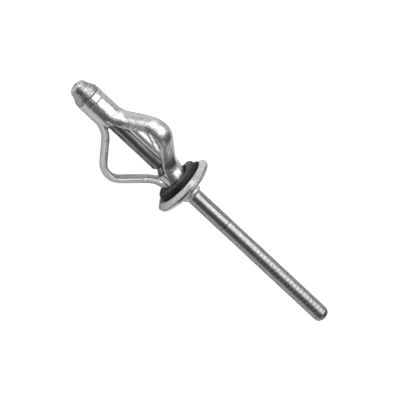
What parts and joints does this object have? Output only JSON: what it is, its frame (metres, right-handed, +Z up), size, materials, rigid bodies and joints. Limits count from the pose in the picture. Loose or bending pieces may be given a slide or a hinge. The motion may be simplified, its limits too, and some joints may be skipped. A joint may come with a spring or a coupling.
{
  "type": "rivet",
  "caption": "Bulbing blind rivet with its legs splayed in a star, a domed flange with a rubber sealing washer, and a long serrated mandrel still attached; clamps thin sheet from one side.",
  "frame": {"origin": "centre of the bounding box's base, on the surface the rivet lies on", "axes": "+X along the rivet's length towards the mandrel's serrated tail, +Z up from the surface; the axis of the rivet rises 3.7 degrees towards the tail"},
  "size_m": [0.0648, 0.0156, 0.0141],
  "materials": {
    "sleeve_aluminium": "satin",
    "mandrel_aluminium": "drawn, semi-bright",
    "washer_rubber": "matt"
  },
  "bodies": {
    "root": {"rivet_sleeve": "sleeve_aluminium", "mandrel": "mandrel_aluminium", "sealing_washer": "washer_rubber"}
  },
  "joints": []
}
